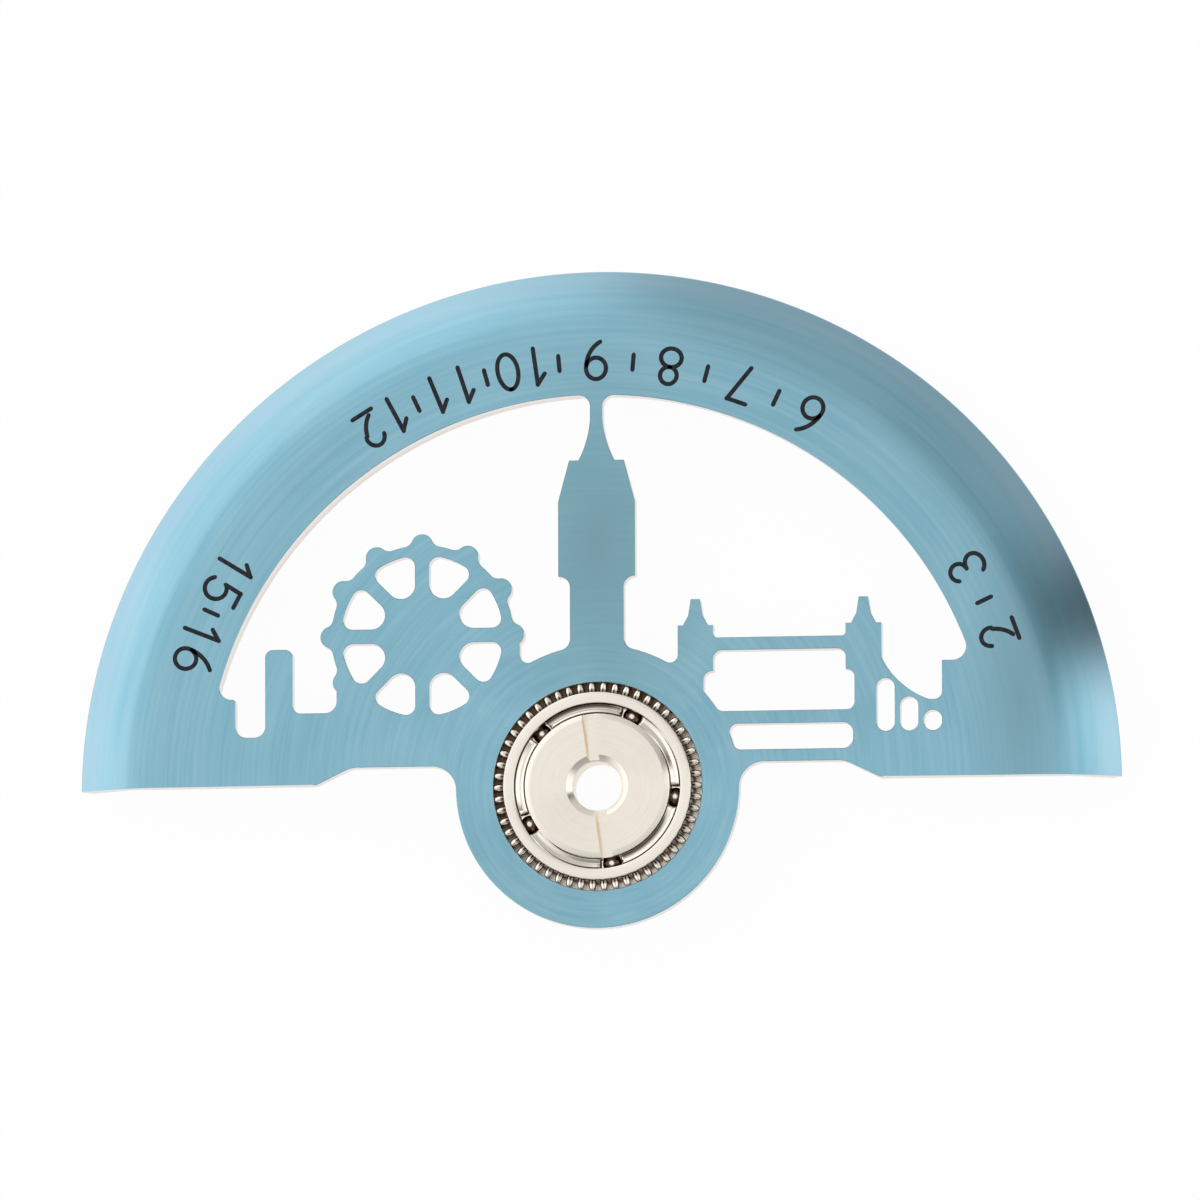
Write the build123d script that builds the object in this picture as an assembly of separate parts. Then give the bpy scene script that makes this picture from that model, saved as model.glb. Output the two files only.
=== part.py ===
from build123d import *
import os
from math import cos, radians, sin, sqrt

# Oscillating weight of a self-winding watch, with the ball bearing that carries it.
# A thin openworked plate and a heavy half ring turn together on the bearing.
# Millimetres. The origin is on the bearing axis, in the plane of the bearing's seat.
# +Z points out of the movement, through the decorated face. +Y runs from the axis to the rim's middle.

# Plate and rim
rotor_radius = 13.3           # outer edge of the rim
rim_inner_radius = 10.04      # where the openwork meets the rim
plate_top = 0.85              # height of the decorated face over the bearing's seat
plate_thickness = 0.45
cut_edge_y = 0.13             # straight lower edge of the half disc
bevel_width = 1.2             # the plate slopes down in this band around the rim
bevel_drop = 0.7
boss_radius = 3.62            # round boss that holds the bearing
waist_y = 0.57                # the lower edge is raised here, beside the boss
waist_outer_x = 7.2
waist_inner_x = 6.3
waist_outer_round = 0.3
waist_inner_round = 0.8
waist_boss_round = 0.62

# Heavy half ring under the rim
weight_height = 1.45
weight_setback = 0.3          # its outer wall stands in from the rim's edge
weight_inner_setback = 0.18   # and its inner wall from the openwork
weight_end_setback = 0.2      # and its ends from the cut edge
weight_edge_chamfer = 0.3
rivet_count = 5
rivet_radius = 0.4
rivet_head_radius = 0.6
rivet_head_height = 0.2
rivet_depth_in_plate = 0.25
rivet_spread = 150.0          # degrees from the first rivet to the last
rivet_circle_radius = 11.0

# Left bank: ledge, slot, chimney and wharf
ledge_y = 2.36
ledge_round = 0.3
ledge_corner_round = 0.08
basin_left_x = 9.26           # slot between the ledge and the chimney
basin_floor_y = 1.38
basin_round = 0.28
chimney_left_x = 8.50
chimney_right_x = 7.79
chimney_top_y = 3.62
chimney_round = 0.2
wharf_y = 1.98
wharf_round = 0.2
wharf_end_round = 0.3

# Observation wheel
wheel_x = -4.47
wheel_y = 3.92
wheel_radius = 2.33
pod_radius = 0.28
pod_count = 12
pod_round = 0.25
cell_count = 8
cell_outer_radius = 2.07
spoke_width = 0.37
cell_inner_round = 0.36
cell_outer_round = 0.24
foot_left_x = 6.67            # the wheel's foot, between the wharf and the boss
foot_left_y = 2.62
foot_right_x = 1.97
foot_right_y = 3.75
foot_boss_round = 0.2

# Clock tower
shaft_half_width = 0.69
shaft_foot_round = 0.3
belfry_half_width = 0.985
belfry_bottom_y = 5.38
belfry_shoulder_y = 7.3
belfry_top_half_width = 0.7
belfry_top_y = 8.36
belfry_round = 0.28
spire_half_width = 0.46
spire_middle_half_width = 0.24
spire_middle_y = 8.93
neck_half_width = 0.16
neck_y = 9.45
neck_round = 0.3

# Bascule bridge
west_tower_left_x = 2.06
west_tower_right_x = 2.97
east_tower_left_x = 6.34
east_tower_right_x = 7.26
bridge_tower_top_y = 4.08
bridge_spire_top_y = 4.75
bridge_spire_base = 0.64
bridge_spire_waist = 0.37
bridge_spire_waist_y = 4.33
bridge_spire_tip = 0.24
walkway_bottom_y = 3.43
walkway_top_y = 3.76
walkway_round = 0.1
arch_ledge_y = 2.9            # the opening under the walkway is wider below this
arch_west_x = 2.72
arch_east_x = 6.56
arch_top_round = 0.22
arch_round = 0.2
arch_boss_round = 0.22
deck_top_y = 1.87
deck_bottom_y = 1.54
river_bottom_y = 0.88         # slot under the deck
river_east_x = 6.52
river_round = 0.26
river_boss_round = 0.2
west_pocket_round = 0.2

# Right bank: suspension cable, posts, pocket and ledge
cable_top_y = 3.18
cable_low_x = 8.45
cable_low_y = 2.10
cable_mid_x = 7.78
cable_mid_y = 2.50
pocket_x = 8.79
pocket_round = 0.2
east_ledge_y = 3.09
east_ledge_round = 0.35
post_slot_width = 0.46
post_slot_first_x = 7.355
post_slot_pitch = 0.6
post_slot_bottom_y = 1.3
post_slot_tops_y = (2.65, 2.17, 1.82)

# Bearing
bearing_height = 1.0
bore_radius = 0.63
bore_chamfer = 0.16
tooth_count = 54
tooth_tip_radius = 2.67
tooth_height = 0.23
tooth_tip_share = 0.42        # part of the tooth pitch that is solid at the tips
tooth_root_share = 0.72       # and at the roots
seat_flange_width = 0.28      # the plate rests on a flange that stands out this far past the teeth
seat_flange_thickness = 0.08
ring_lift = 0.1               # the outer ring hangs clear of the seat
collar_step = 0.04            # from the foot of the teeth in to the plain collar, proud of the plate
outer_ring_wall = 0.28        # from the collar to the ring's cylindrical land inside
ball_radius = 0.25
ball_count = 5
ball_first_angle = 64.0       # degrees
race_clearance = 0.01         # between a ball and its grooves
land_gap = 0.135              # from the pitch circle to either ring's cylindrical land
cage_clearance = 0.03         # between the cage and the lands
cage_bottom = 0.14
cage_top = 0.68
pocket_clearance = 0.015
ring_edge_break = 0.03        # small chamfers on the outer ring's upper edges
face_chamfer_width = 0.14     # wide chamfer around the inner ring's face
face_chamfer_drop = 0.08
slot_width = 0.31             # shallow slot for a holding tool, right across the inner ring's face
slot_depth = 0.1
slot_turn = 97.75             # degrees
spigot_radius = 1.05          # collar of the lower inner ring, pressed in the upper one
spigot_top = 0.75
overrun = 1.0                 # how far a cutter passes the face it cuts

# Heights worked out from the sizes above
plate_bottom = plate_top - plate_thickness
bevel_inner_radius = rotor_radius - bevel_width
bevel_length = sqrt(bevel_width**2 + bevel_drop**2)
skirt_inner_radius = bevel_inner_radius - plate_thickness * bevel_drop / (bevel_width + bevel_length)
weight_bottom = plate_bottom - weight_height
weight_inner_radius = rim_inner_radius + weight_inner_setback
ball_height = bearing_height / 2
tooth_root_radius = tooth_tip_radius - tooth_height
collar_radius = tooth_root_radius - collar_step
outer_land_radius = collar_radius - outer_ring_wall
pitch_radius = outer_land_radius - land_gap
inner_land_radius = pitch_radius - land_gap


def block(left, right, bottom, top):
    """Rectangle between two x values and two y values."""
    middle = Pos((left + right) / 2, (bottom + top) / 2)
    return middle * Rectangle(right - left, top - bottom)


def outline(*points):
    """Flat face inside straight lines through the points."""
    return make_face(Polyline(*points, close=True))


def half_disc(radius):
    """Disc of a radius, kept above the cut edge."""
    return Circle(radius) & block(-radius, radius, cut_edge_y, radius)


def rounded(face, radius, *places):
    """Round the corners of a face that lie nearest to the places."""
    corners = [face.vertices().sort_by_distance((x, y, 0))[0] for x, y in places]
    return fillet(corners, radius)


def on_circle(radius, y):
    """How far from the Y axis a circle about the origin is at a height."""
    return sqrt(radius**2 - y**2)


def above_circle(radius, x):
    """How high a circle about the origin is at a distance from the Y axis."""
    return sqrt(radius**2 - x**2)


def left_bank():
    """Ledge at the rim, basin, chimney and wharf."""
    inside_rim_x = (rotor_radius + rim_inner_radius) / 2
    ledge = block(-inside_rim_x, -basin_left_x, cut_edge_y, ledge_y)
    basin = block(-basin_left_x, -chimney_left_x, cut_edge_y, basin_floor_y)
    chimney = block(-chimney_left_x, -chimney_right_x, cut_edge_y, chimney_top_y)
    wharf = block(-chimney_right_x, 0, cut_edge_y, wharf_y)
    return ledge + basin + chimney + wharf


def observation_wheel():
    """Wheel with round pods on its rim, and the foot that ties it to the wharf and the boss."""
    rim = Circle(wheel_radius)
    for turn in range(pod_count):
        angle = radians(360 * turn / pod_count)
        rim += Pos(wheel_radius * cos(angle), wheel_radius * sin(angle)) * Circle(pod_radius)
    rim = fillet(rim.vertices(), pod_round)
    foot = block(-foot_left_x, -foot_right_x, cut_edge_y, foot_left_y)
    heel = block(wheel_x + wheel_radius / 2, -foot_right_x, cut_edge_y, foot_right_y)
    return Pos(wheel_x, wheel_y) * rim + foot + heel


def wheel_cells():
    """Rounded openings between the wheel's spokes."""
    step = 360 / cell_count
    apex = spoke_width / 2 / sin(radians(step / 2))
    reach = 2 * cell_outer_radius
    up = Vector(reach, 0).rotate(Axis.Z, step / 2)
    down = Vector(reach, 0).rotate(Axis.Z, -step / 2)
    start = Vector(apex, 0)
    cell = outline(start, start + down, start + up) & Circle(cell_outer_radius)
    corners = cell.vertices().sort_by(Axis.X)
    cell = fillet(corners[0], cell_inner_round)
    cell = fillet(cell.vertices().sort_by(Axis.X)[-2:], cell_outer_round)
    cells = [Rot(0, 0, step * (turn + 1 / 2)) * cell for turn in range(cell_count)]
    return [Pos(wheel_x, wheel_y) * one for one in cells]


def clock_tower():
    """Shaft, belfry and spire, which reaches the rim."""
    shaft = block(-shaft_half_width, shaft_half_width, 0, belfry_bottom_y)
    belfry = outline(
        (-belfry_half_width, belfry_bottom_y),
        (belfry_half_width, belfry_bottom_y),
        (belfry_half_width, belfry_shoulder_y),
        (belfry_top_half_width, belfry_top_y),
        (-belfry_top_half_width, belfry_top_y),
        (-belfry_half_width, belfry_shoulder_y),
    )
    tip_y = (rim_inner_radius + rotor_radius) / 2
    right = [
        (spire_half_width, belfry_top_y),
        (spire_middle_half_width, spire_middle_y),
        (neck_half_width, neck_y),
    ]
    left = [(-x, y) for x, y in reversed(right)]
    spire_edges = [
        Line(left[2], right[0]),
        ThreePointArc(*right),
        Line(right[2], (neck_half_width, tip_y)),
        Line((neck_half_width, tip_y), (-neck_half_width, tip_y)),
        Line((-neck_half_width, tip_y), left[0]),
        ThreePointArc(*left),
    ]
    return shaft + belfry + make_face(spire_edges)


def bridge_tower(left, right):
    """Square tower with a small flat-tipped spire."""
    middle = (left + right) / 2
    half = [
        (bridge_spire_base / 2, bridge_tower_top_y),
        (bridge_spire_waist / 2, bridge_spire_waist_y),
        (bridge_spire_tip / 2, bridge_spire_top_y),
    ]
    spire = outline(*[(middle + x, y) for x, y in half], *[(middle - x, y) for x, y in reversed(half)])
    return block(left, right, cut_edge_y, bridge_tower_top_y) + spire


def bridge():
    """Two towers joined by the walkway, the deck and the bar below it."""
    towers = bridge_tower(west_tower_left_x, west_tower_right_x)
    towers += bridge_tower(east_tower_left_x, east_tower_right_x)
    return towers + block(west_tower_right_x, east_tower_left_x, cut_edge_y, walkway_top_y)


def bridge_openings():
    """Opening under the walkway and slot under the deck; the boss is added back over both."""
    upper = block(west_tower_right_x, east_tower_left_x, deck_top_y, walkway_bottom_y)
    top_corners = [(west_tower_right_x, walkway_bottom_y), (east_tower_left_x, walkway_bottom_y)]
    upper = rounded(upper, arch_top_round, *top_corners)
    upper += block(arch_west_x, arch_east_x, deck_top_y, arch_ledge_y)
    east_corners = [(arch_east_x, deck_top_y), (arch_east_x, arch_ledge_y)]
    upper = rounded(upper, arch_round, *east_corners)
    river = block(boss_radius / 2, river_east_x, river_bottom_y, deck_bottom_y)
    river = rounded(river, river_round, (river_east_x, river_bottom_y), (river_east_x, deck_bottom_y))
    return [upper, river]


def right_bank():
    """Bank under a sagging cable, with a pocket and a ledge at the rim."""
    inside_rim_x = (rotor_radius + rim_inner_radius) / 2
    cable = [(east_tower_right_x, cable_top_y), (cable_mid_x, cable_mid_y), (cable_low_x, cable_low_y)]
    edges = [
        Line((arch_east_x, cut_edge_y), (arch_east_x, cable_top_y)),
        Line((arch_east_x, cable_top_y), (east_tower_right_x, cable_top_y)),
        ThreePointArc(*cable),
        Line((cable_low_x, cable_low_y), (pocket_x, cable_low_y)),
        Line((pocket_x, cable_low_y), (pocket_x, east_ledge_y)),
        Line((pocket_x, east_ledge_y), (inside_rim_x, east_ledge_y)),
        Line((inside_rim_x, east_ledge_y), (inside_rim_x, cut_edge_y)),
        Line((inside_rim_x, cut_edge_y), (arch_east_x, cut_edge_y)),
    ]
    return make_face(edges)


def post_slots():
    """Round-ended slots between the posts under the cable."""
    slots = []
    for place, top in enumerate(post_slot_tops_y):
        x = post_slot_first_x + place * post_slot_pitch
        length = top - post_slot_bottom_y
        slot = SlotOverall(length, post_slot_width, rotation=90)
        slots.append(Pos(x, (top + post_slot_bottom_y) / 2) * slot)
    return slots


def waist():
    """Material taken away below the raised part of the lower edge."""
    return outline(
        (-waist_outer_x, cut_edge_y),
        (-waist_inner_x, waist_y),
        (waist_inner_x, waist_y),
        (waist_outer_x, cut_edge_y),
    )


def plate_face():
    """Outline of the plate with all its openwork."""
    face = half_disc(rotor_radius) - half_disc(rim_inner_radius)
    face += left_bank() + observation_wheel() + clock_tower() + bridge() + right_bank()
    for opening in bridge_openings():
        face -= opening
    face -= waist()
    face += Circle(boss_radius)
    for opening in wheel_cells() + post_slots():
        face -= opening
    return face


def round_corners(face):
    """Round the outline's corners, each by its own radius."""
    boss_waist_x = on_circle(boss_radius, waist_y)
    face = rounded(face, waist_boss_round, (-boss_waist_x, waist_y), (boss_waist_x, waist_y))
    face = rounded(face, waist_inner_round, (-waist_inner_x, waist_y), (waist_inner_x, waist_y))
    face = rounded(face, waist_outer_round, (-waist_outer_x, cut_edge_y), (waist_outer_x, cut_edge_y))
    face = rounded(face, ledge_round, (-on_circle(rim_inner_radius, ledge_y), ledge_y))
    face = rounded(face, ledge_corner_round, (-basin_left_x, ledge_y))
    face = rounded(face, basin_round, (-basin_left_x, basin_floor_y), (-chimney_left_x, basin_floor_y))
    face = rounded(face, chimney_round, (-chimney_left_x, chimney_top_y), (-chimney_right_x, chimney_top_y))
    face = rounded(face, wharf_round, (-chimney_right_x, wharf_y))
    face = rounded(face, wharf_end_round, (-foot_left_x, wharf_y))
    face = rounded(face, foot_boss_round, (-foot_right_x, above_circle(boss_radius, foot_right_x)))
    shaft_foot_y = above_circle(boss_radius, shaft_half_width)
    shaft_feet = [(-shaft_half_width, shaft_foot_y), (shaft_half_width, shaft_foot_y)]
    face = rounded(face, shaft_foot_round, *shaft_feet)
    belfry_feet = [(-shaft_half_width, belfry_bottom_y), (shaft_half_width, belfry_bottom_y)]
    face = rounded(face, belfry_round, *belfry_feet)
    neck_top_y = above_circle(rim_inner_radius, neck_half_width)
    face = rounded(face, neck_round, (-neck_half_width, neck_top_y), (neck_half_width, neck_top_y))
    face = rounded(face, west_pocket_round, (west_tower_left_x, above_circle(boss_radius, west_tower_left_x)))
    walkway_ends = [(west_tower_right_x, walkway_top_y), (east_tower_left_x, walkway_top_y)]
    face = rounded(face, walkway_round, *walkway_ends)
    deck_x = on_circle(boss_radius, deck_top_y)
    face = rounded(face, arch_boss_round, (deck_x, deck_top_y), (arch_west_x, arch_ledge_y))
    river_top_x = on_circle(boss_radius, deck_bottom_y)
    river_bottom_x = on_circle(boss_radius, river_bottom_y)
    river_corners = [(river_top_x, deck_bottom_y), (river_bottom_x, river_bottom_y)]
    face = rounded(face, river_boss_round, *river_corners)
    face = rounded(face, pocket_round, (pocket_x, cable_low_y))
    face = rounded(face, east_ledge_round, (on_circle(rim_inner_radius, east_ledge_y), east_ledge_y))
    return face


def turned(*points):
    """Solid of revolution about the bearing axis, from points of radius and height."""
    profile = Plane.XZ * outline(*points)
    return revolve(profile, Axis.Z)


def drum(radius, bottom, top):
    """Upright cylinder about the bearing axis between two heights."""
    return Pos(0, 0, (bottom + top) / 2) * Cylinder(radius, top - bottom)


def race_groove():
    """Ring-shaped groove that the balls run in."""
    return Pos(0, 0, ball_height) * Torus(pitch_radius, ball_radius + race_clearance)


def rivet_places():
    """Places of the rivets, spread evenly along the rim."""
    first = (180 - rivet_spread) / 2
    step = rivet_spread / (rivet_count - 1)
    turns = [radians(first + step * place) for place in range(rivet_count)]
    return [Pos(rivet_circle_radius * cos(turn), rivet_circle_radius * sin(turn)) for turn in turns]


def rivet():
    """Blind rivet with a conical head that ends flush with the weight's underside."""
    return turned(
        (0, weight_bottom),
        (rivet_head_radius, weight_bottom),
        (rivet_radius, weight_bottom + rivet_head_height),
        (rivet_radius, plate_bottom + rivet_depth_in_plate),
        (0, plate_bottom + rivet_depth_in_plate),
    )


def above_cut(setback=0):
    """Block that holds everything on the rim's side of the cut edge, or a little further from it."""
    height = plate_top - weight_bottom
    base = block(-rotor_radius, rotor_radius, cut_edge_y + setback, rotor_radius)
    return extrude(Pos(0, 0, weight_bottom) * base, height)


def rim_skirt():
    """Sloping outer band of the plate, as thick as the flat part and cut square to its slope."""
    edge_in = plate_thickness * bevel_drop / bevel_length
    edge_down = plate_thickness * bevel_width / bevel_length
    band = turned(
        (bevel_inner_radius, plate_top),
        (rotor_radius, plate_top - bevel_drop),
        (rotor_radius - edge_in, plate_top - bevel_drop - edge_down),
        (skirt_inner_radius, plate_bottom),
    )
    return band & above_cut()


def rotor_plate():
    """Openworked plate with its sloping rim and the hole for the bearing."""
    face = round_corners(plate_face())
    flat = extrude(Pos(0, 0, plate_bottom) * face, plate_thickness)
    outside = drum(rotor_radius + overrun, plate_bottom - overrun, plate_top + overrun)
    flat -= outside - drum(bevel_inner_radius, plate_bottom - overrun, plate_top + overrun)
    flat -= turned(
        (skirt_inner_radius, plate_bottom),
        (bevel_inner_radius, plate_top),
        (bevel_inner_radius, plate_bottom),
    )
    plate = flat + rim_skirt()
    plate -= drum(tooth_tip_radius, plate_bottom - overrun, plate_top + overrun)
    for place in rivet_places():
        plate -= place * rivet()
    return plate


def rim_weight():
    """Heavy half ring, sloped on top to fit under the rim, with holes for the rivets."""
    outer_radius = rotor_radius - weight_setback
    outer_top = plate_bottom - (outer_radius - skirt_inner_radius) * bevel_drop / bevel_width
    ring = turned(
        (weight_inner_radius, weight_bottom),
        (outer_radius - weight_edge_chamfer, weight_bottom),
        (outer_radius, weight_bottom + weight_edge_chamfer),
        (outer_radius, outer_top),
        (skirt_inner_radius, plate_bottom),
        (weight_inner_radius, plate_bottom),
    )
    weight = ring & above_cut(weight_end_setback)
    for place in rivet_places():
        weight -= place * rivet()
    return weight


def weight_rivets():
    """All rivets that hold the heavy half ring to the plate."""
    return Compound([place * rivet() for place in rivet_places()])


def tooth():
    """One tooth of the gear, pointing along X, with its foot inside the ring."""
    pitch = radians(360 / tooth_count)
    foot_radius = (tooth_root_radius + outer_land_radius) / 2
    root_turn = pitch * tooth_root_share / 2
    tip_turn = pitch * tooth_tip_share / 2
    tip_x = tooth_tip_radius * cos(tip_turn)
    tip_y = tooth_tip_radius * sin(tip_turn)
    foot_y = foot_radius * sin(root_turn)
    edges = [
        Line((foot_radius, -foot_y), (tip_x, -tip_y)),
        ThreePointArc((tip_x, -tip_y), (tooth_tip_radius, 0), (tip_x, tip_y)),
        Line((tip_x, tip_y), (foot_radius, foot_y)),
        Line((foot_radius, foot_y), (foot_radius, -foot_y)),
    ]
    return make_face(edges)


def gear_ring():
    """Outer ring of the bearing: groove inside, teeth and the plate's seat outside, a plain collar on top."""
    section = Circle(tooth_root_radius)
    for turn in range(tooth_count):
        section += Rot(0, 0, 360 * turn / tooth_count) * tooth()
    section -= Circle(outer_land_radius)
    ring = extrude(Pos(0, 0, ring_lift) * section, plate_top - ring_lift)
    flange = Circle(tooth_tip_radius + seat_flange_width) - Circle(outer_land_radius)
    ring += extrude(Pos(0, 0, plate_bottom - seat_flange_thickness) * flange, seat_flange_thickness)
    ring += turned(
        (outer_land_radius, plate_top - ring_edge_break),
        (collar_radius, plate_top - ring_edge_break),
        (collar_radius, bearing_height - ring_edge_break),
        (collar_radius - ring_edge_break, bearing_height),
        (outer_land_radius + ring_edge_break, bearing_height),
        (outer_land_radius, bearing_height - ring_edge_break),
    )
    return ring - race_groove()


def inner_ring_lower():
    """Lower half of the inner ring, with the collar that the upper half is pressed on."""
    ring = turned(
        (bore_radius, 0),
        (inner_land_radius, 0),
        (inner_land_radius, ball_height),
        (spigot_radius, ball_height),
        (spigot_radius, spigot_top),
        (bore_radius, spigot_top),
    )
    return ring - race_groove()


def tool_slot():
    """Cutter for the slot across the inner ring's face."""
    height = bearing_height - slot_depth + overrun / 2
    return Rot(0, 0, slot_turn) * Pos(0, 0, height) * Box(2 * collar_radius, slot_width, overrun)


def inner_ring_upper():
    """Upper half of the inner ring, with the chamfered mouth of the bore and the slot across its face."""
    ring = turned(
        (spigot_radius, ball_height),
        (inner_land_radius, ball_height),
        (inner_land_radius, bearing_height - face_chamfer_drop),
        (inner_land_radius - face_chamfer_width, bearing_height),
        (bore_radius + bore_chamfer, bearing_height),
        (bore_radius, bearing_height - bore_chamfer),
        (bore_radius, spigot_top),
        (spigot_radius, spigot_top),
    )
    return ring - race_groove() - tool_slot()


def ball_place(number):
    """Place of a ball's centre on the pitch circle."""
    turn = radians(ball_first_angle + 360 * number / ball_count)
    return Pos(pitch_radius * cos(turn), pitch_radius * sin(turn), ball_height)


def ball(number):
    """One steel ball."""
    return ball_place(number) * Sphere(ball_radius)


def bearing_cage():
    """Thin ring between the lands, open at the top over each ball."""
    outer = outer_land_radius - cage_clearance
    inner = inner_land_radius + cage_clearance
    cage = drum(outer, cage_bottom, cage_top) - drum(inner, cage_bottom - overrun, cage_top + overrun)
    pocket_radius = ball_radius + pocket_clearance
    mouth = Pos(0, 0, overrun / 2) * Cylinder(pocket_radius, overrun)
    for number in range(ball_count):
        cage -= ball_place(number) * (Sphere(pocket_radius) + mouth)
    return cage


def main():
    """Write every piece to its own file."""
    pieces = {
        "rotor_plate": rotor_plate(),
        "rim_weight": rim_weight(),
        "weight_rivets": weight_rivets(),
        "gear_ring": gear_ring(),
        "bearing_cage": bearing_cage(),
        "inner_ring_lower": inner_ring_lower(),
        "inner_ring_upper": inner_ring_upper(),
    }
    for number in range(ball_count):
        pieces[f"ball_{number + 1}"] = ball(number)
    os.makedirs("parts", exist_ok=True)
    for name, shape in pieces.items():
        export_step(shape, f"parts/{name}.step")


if __name__ == "__main__":
    main()
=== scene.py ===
import math

import bpy
import numpy as np
from mathutils import Matrix
from mathutils.geometry import tessellate_polygon


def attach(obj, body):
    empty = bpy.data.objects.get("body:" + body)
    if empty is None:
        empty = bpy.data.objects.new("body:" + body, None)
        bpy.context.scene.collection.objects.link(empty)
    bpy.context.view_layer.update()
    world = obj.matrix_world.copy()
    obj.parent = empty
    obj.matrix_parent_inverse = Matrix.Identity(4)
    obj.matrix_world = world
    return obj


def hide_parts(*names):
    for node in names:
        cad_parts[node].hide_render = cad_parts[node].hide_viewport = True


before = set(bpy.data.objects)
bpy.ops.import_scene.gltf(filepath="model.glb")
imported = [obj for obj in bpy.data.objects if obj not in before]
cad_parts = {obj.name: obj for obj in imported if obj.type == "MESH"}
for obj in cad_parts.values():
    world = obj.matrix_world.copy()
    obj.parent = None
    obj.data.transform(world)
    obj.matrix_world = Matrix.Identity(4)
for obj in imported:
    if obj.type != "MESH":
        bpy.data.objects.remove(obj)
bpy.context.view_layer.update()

# Sizes are in millimetres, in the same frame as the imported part: the bearing's axis is Z, its seat is z = 0.
mm = 0.001
rotor_radius = 13.3
rim_inner_radius = 10.04
cut_edge_y = 0.13
plate_top = 0.85
plate_thickness = 0.45
plate_bottom = plate_top - plate_thickness
bevel_inner_radius = 12.1
bevel_drop = 0.7
bevel_slope = bevel_drop / (rotor_radius - bevel_inner_radius)
slope_length = math.hypot(1, bevel_slope)
skirt_inner_radius = bevel_inner_radius - plate_thickness * (slope_length - 1) / bevel_slope
roll_start = 11.25            # the flat face rolls over into the bevel between these radii
roll_end = 12.2
rim_slope = 0.57              # slope of the bevel at the rim, where it's steepest
band_inner_radius = 10.35     # from here outwards the plate is a turned band without openings
edge_break = 0.015            # chamfer along the plate's edges
weight_height = 1.45
weight_bottom = plate_bottom - weight_height
weight_setback = 0.3
weight_inner_radius = rim_inner_radius + 0.18
weight_end_y = cut_edge_y + 0.2
weight_edge_chamfer = 0.3
weight_edge_radius = 0.04
rivet_circle_radius = 11.0
rivet_head_radius = 0.6
rivet_dish = 0.012            # how far the middle of a rivet's face is turned in
rivet_head_height = 0.12
rivet_edge = 0.03
rivet_taper = 0.02
rivet_count = 5
rivet_spread = 150.0
bearing_height = 1.0
ball_height = 0.5
bore_radius = 0.63
bore_chamfer = 0.16
bore_chamfer_drop = 0.12
tooth_count = 54
tooth_tip_radius = 2.67
tooth_root_radius = 2.44
tooth_crown = 0.08            # height of the rounded part of the teeth
crown_tip_radius = 2.66
tooth_crest_radius = 2.57     # where the teeth are highest
crest_dip = 0.06              # how far the crown sinks beside the collar and between the teeth
tooth_share = 0.64            # share of the pitch that a tooth takes
points_per_tooth = 24
narrowest_crown = 0.15        # least share of its width that a tooth keeps at the crest
crown_steps = 9
foot_run = 0.012              # the teeth's tops meet the collar over this run and rise
foot_rise = 0.01
flange_edge = 0.02
collar_edge = 0.03
flange_radius = 2.95
flange_bottom = plate_bottom - 0.08
collar_radius = 2.4
pitch_radius = 1.985
ball_radius = 0.25
ball_count = 5
ball_first_angle = 64.0
land_gap = 0.135
groove_half_height = 0.17     # of the inner ring's groove for the balls
groove_depth = 0.12
outer_land_radius = pitch_radius + land_gap
inner_land_radius = pitch_radius - land_gap
cage_clearance = 0.03
cage_bottom = 0.14
cage_top = 0.96
cage_dish = 0.075             # depth of the hollow along the cage's top
cage_lip = 0.1                # the cage rounds over this far from each window
window_half_width = 0.265
face_chamfer_width = 0.14
face_chamfer_drop = 0.04
slot_width = 0.31
slot_depth = 0.1
slot_turn = 97.75
slot_lean = 0.07              # how far the slot's left wall leans
spigot_radius = 1.05
spigot_top = 0.75
seat_edge_radius = 0.02
face_edge_radius = 0.025
slot_edge_radius = 0.01
cage_edge_radius = 0.02
slot_reach = 2.2              # half the length of the bar that cuts the slot
slot_clear = 0.2              # how far that bar stands over the ring
ring_lift = 0.1
upright_limit = 0.35          # a face is a wall when its normal's height is less than this
mitre_least = 0.35            # keeps the mitre of a sharp corner short
arc_turns = (math.radians(0.5), math.radians(75))    # two equal chords that turn this much are of one arc


# surfaces

def grid_quads(rows, columns, wrap_rows=False, wrap_columns=False):
    """Corner numbers of the quads of a grid whose point (i, j) has number i * columns + j."""
    i = np.arange(rows if wrap_rows else rows - 1)
    j = np.arange(columns if wrap_columns else columns - 1)
    i, j = [a.ravel() for a in np.meshgrid(i, j, indexing="ij")]
    i_next, j_next = (i + 1) % rows, (j + 1) % columns
    corners = (i * columns + j, i_next * columns + j, i_next * columns + j_next, i * columns + j_next)
    return np.stack(corners, axis=1)


def polar_uv(points, faces, middles):
    """UV of each face corner: turn about its own middle in U, kept whole inside a face, and distance in V."""
    numbers = np.concatenate([np.asarray(f) for f in faces])
    x, y = (points[numbers, :2] - middles[numbers]).T
    sizes = [len(f) for f in faces]
    first = np.concatenate([[0], np.cumsum(sizes)[:-1]])
    turn = np.arctan2(y, x)
    base = np.repeat(turn[first], sizes)
    turn = base + (turn - base + np.pi) % (2 * np.pi) - np.pi
    return np.stack([turn, np.hypot(x, y) + points[numbers, 2]], axis=1)


def new_object(name, data):
    """Object in the scene for some data."""
    obj = bpy.data.objects.new(name, data)
    bpy.context.scene.collection.objects.link(obj)
    return obj


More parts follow.
